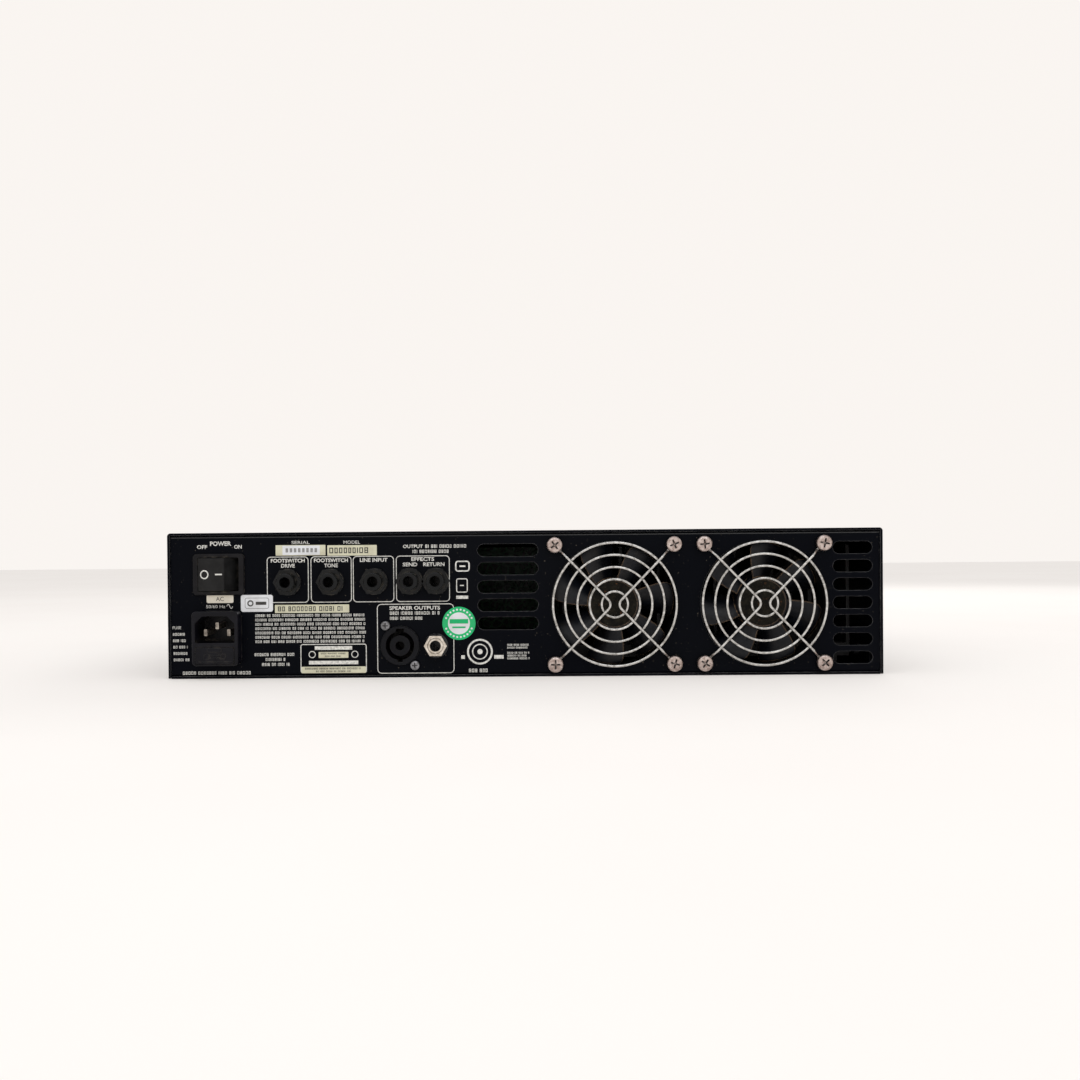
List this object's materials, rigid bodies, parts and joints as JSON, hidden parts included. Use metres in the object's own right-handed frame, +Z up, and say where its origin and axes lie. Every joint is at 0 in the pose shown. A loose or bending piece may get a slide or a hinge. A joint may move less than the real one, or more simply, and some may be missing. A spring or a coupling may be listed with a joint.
{
  "type": "power amplifier",
  "caption": "Rack-mount bass amplifier head with a fan-cooled rear connector panel, rocker switch, mains inlet, jacks and a front panel of knobs, faders and a meter.",
  "frame": {"origin": "on the resting surface, at the middle of the overall box", "axes": "+Z up, +X to the right as seen from the front, -Y out of the front panel and +Y out of the connector panel"},
  "size_m": [0.4826, 0.348, 0.0881],
  "materials": {
    "case_paint": "satin black powder coat on folded steel, greyed by dust",
    "front_plate": "fine-brushed black anodised plate",
    "black_screw": "black zinc",
    "zinc_steel": "bright zinc plate",
    "nickel_screw": "nickel plate with a warm tarnish",
    "chrome_wire": "chromed wire with specks of rust",
    "switch_moulding": "black nylon",
    "rocker_moulding": "black nylon, worn grey",
    "inlet_moulding": "black moulding",
    "plated_blade": "nickel-plated brass",
    "fuse_glass": "glass cartridge with nickel caps",
    "jack_moulding": "black nylon",
    "speaker_jack_metal": "bright nickel",
    "socket_moulding": "black glass-filled nylon",
    "fan_moulding": "black moulding, dusty",
    "fan_blades": "black moulding with brown dust on the leading edges",
    "control_case": "pressed metal can",
    "knob_moulding": "fluted soft-touch moulding",
    "fader_moulding": "ribbed moulding",
    "button_moulding": "black button",
    "led_lens": "red diffused lens",
    "meter_case": "cream scale plate in a moulded case",
    "meter_glass": "clear pane",
    "needle_paint": "black",
    "output_socket": "black chromate shell with three plated pins",
    "winding": "varnished tape over copper wire on an iron core",
    "transformer_steel": "zinc-plated clamp plate",
    "heatsink_aluminium": "black anodised extrusion",
    "transistor_case": "black epoxy",
    "circuit_board": "green solder mask",
    "capacitor_sleeve": "shrink sleeve with a crimped top",
    "brass_post": "nickel-free brass",
    "valve_base": "white ceramic",
    "valve_glass": "clear envelope with a silvered top"
  },
  "bodies": {
    "chassis": {"base_tray": "case_paint", "rear_panel": "case_paint", "top_cover": "case_paint", "front_panel": "front_plate", "cover_screws": "black_screw", "front_screws": "zinc_steel", "fan_nuts": "zinc_steel", "board_screws": "zinc_steel", "speaker_socket_screws": "zinc_steel", "fan_screws": "nickel_screw", "left_fan_guard": "chrome_wire", "right_fan_guard": "chrome_wire", "power_switch_body": "switch_moulding", "inlet_body": "inlet_moulding", "inlet_pins": "plated_blade", "rear_jacks": "jack_moulding", "input_jack": "jack_moulding", "jack_nuts": "jack_moulding", "speaker_jack": "speaker_jack_metal", "speaker_jack_fasteners": "speaker_jack_metal", "speaker_socket": "socket_moulding", "left_fan_frame": "fan_moulding", "right_fan_frame": "fan_moulding", "potentiometers": "control_case", "fader_bodies": "control_case", "button_switches": "control_case", "power_led": "led_lens", "meter_housing": "meter_case", "meter_window": "meter_glass", "di_socket": "output_socket", "transformer": "winding", "transformer_fixings": "transformer_steel", "heatsink": "heatsink_aluminium", "output_transistors": "transistor_case", "amplifier_board": "circuit_board", "preamp_board": "circuit_board", "jack_board": "circuit_board", "reservoir_capacitors": "capacitor_sleeve", "board_standoffs": "brass_post", "valve_socket": "valve_base", "preamp_valve": "valve_glass"},
    "power_rocker": {"power_rocker": "rocker_moulding"},
    "fuse_drawer": {"fuse_drawer": "inlet_moulding", "fuse": "fuse_glass"},
    "left_fan_rotor": {"left_fan_rotor": "fan_blades"},
    "right_fan_rotor": {"right_fan_rotor": "fan_blades"},
    "meter_needle": {"meter_needle": "needle_paint"},
    "input_knob": {"input_knob": "knob_moulding"},
    "drive_knob": {"drive_knob": "knob_moulding"},
    "bass_knob": {"bass_knob": "knob_moulding"},
    "middle_knob": {"middle_knob": "knob_moulding"},
    "treble_knob": {"treble_knob": "knob_moulding"},
    "output_knob": {"output_knob": "knob_moulding"},
    "low_fader": {"low_fader": "fader_moulding"},
    "low_middle_fader": {"low_middle_fader": "fader_moulding"},
    "high_middle_fader": {"high_middle_fader": "fader_moulding"},
    "high_fader": {"high_fader": "fader_moulding"},
    "pad_button": {"pad_button": "button_moulding"},
    "drive_button": {"drive_button": "button_moulding"},
    "mute_button": {"mute_button": "button_moulding"}
  },
  "joints": [
    {"name": "power_rocker_tilt", "type": "hinge", "parent": "chassis", "child": "power_rocker", "pos_m": [0.1841, 0.155, 0.063], "axis": [0, 0, 1], "range_deg": [0, 30]},
    {"name": "fuse_drawer_slide", "type": "slide", "parent": "chassis", "child": "fuse_drawer", "axis": [0, 1, 0], "range_m": [0, 0.022]},
    {"name": "left_fan_spin", "type": "hinge", "parent": "chassis", "child": "left_fan_rotor", "pos_m": [-0.0543, 0.15, 0.0432], "axis": [0, 1, 0], "continuous": true},
    {"name": "right_fan_spin", "type": "hinge", "parent": "chassis", "child": "right_fan_rotor", "pos_m": [-0.1439, 0.15, 0.0432], "axis": [0, 1, 0], "continuous": true},
    {"name": "meter_needle_swing", "type": "hinge", "parent": "chassis", "child": "meter_needle", "pos_m": [-0.153, -0.147, 0.034], "axis": [0, 1, 0], "range_deg": [0, 90], "stiffness_Nm_per_rad": 0.0004, "springref_deg": -11.46},
    {"name": "input_knob_turn", "type": "hinge", "parent": "chassis", "child": "input_knob", "pos_m": [-0.11, -0.165, 0.05], "axis": [0, -1, 0], "range_deg": [-150, 150]},
    {"name": "drive_knob_turn", "type": "hinge", "parent": "chassis", "child": "drive_knob", "pos_m": [-0.074, -0.165, 0.05], "axis": [0, -1, 0], "range_deg": [-150, 150]},
    {"name": "bass_knob_turn", "type": "hinge", "parent": "chassis", "child": "bass_knob", "pos_m": [-0.03, -0.165, 0.05], "axis": [0, -1, 0], "range_deg": [-150, 150]},
    {"name": "middle_knob_turn", "type": "hinge", "parent": "chassis", "child": "middle_knob", "pos_m": [0.044, -0.165, 0.05], "axis": [0, -1, 0], "range_deg": [-150, 150]},
    {"name": "treble_knob_turn", "type": "hinge", "parent": "chassis", "child": "treble_knob", "pos_m": [0.118, -0.165, 0.05], "axis": [0, -1, 0], "range_deg": [-150, 150]},
    {"name": "output_knob_turn", "type": "hinge", "parent": "chassis", "child": "output_knob", "pos_m": [0.158, -0.165, 0.05], "axis": [0, -1, 0], "range_deg": [-150, 150]},
    {"name": "low_fader_slide", "type": "slide", "parent": "chassis", "child": "low_fader", "axis": [0, 0, 1], "range_m": [-0.01, 0.01]},
    {"name": "low_middle_fader_slide", "type": "slide", "parent": "chassis", "child": "low_middle_fader", "axis": [0, 0, 1], "range_m": [-0.01, 0.01]},
    {"name": "high_middle_fader_slide", "type": "slide", "parent": "chassis", "child": "high_middle_fader", "axis": [0, 0, 1], "range_m": [-0.01, 0.01]},
    {"name": "high_fader_slide", "type": "slide", "parent": "chassis", "child": "high_fader", "axis": [0, 0, 1], "range_m": [-0.01, 0.01]},
    {"name": "pad_button_press", "type": "slide", "parent": "chassis", "child": "pad_button", "axis": [0, 1, 0], "range_m": [0, 0.0025], "stiffness_N_per_m": 200, "springref_m": -0.002},
    {"name": "drive_button_press", "type": "slide", "parent": "chassis", "child": "drive_button", "axis": [0, 1, 0], "range_m": [0, 0.0025], "stiffness_N_per_m": 200, "springref_m": -0.002},
    {"name": "mute_button_press", "type": "slide", "parent": "chassis", "child": "mute_button", "axis": [0, 1, 0], "range_m": [0, 0.0025], "stiffness_N_per_m": 200, "springref_m": -0.002}
  ]
}
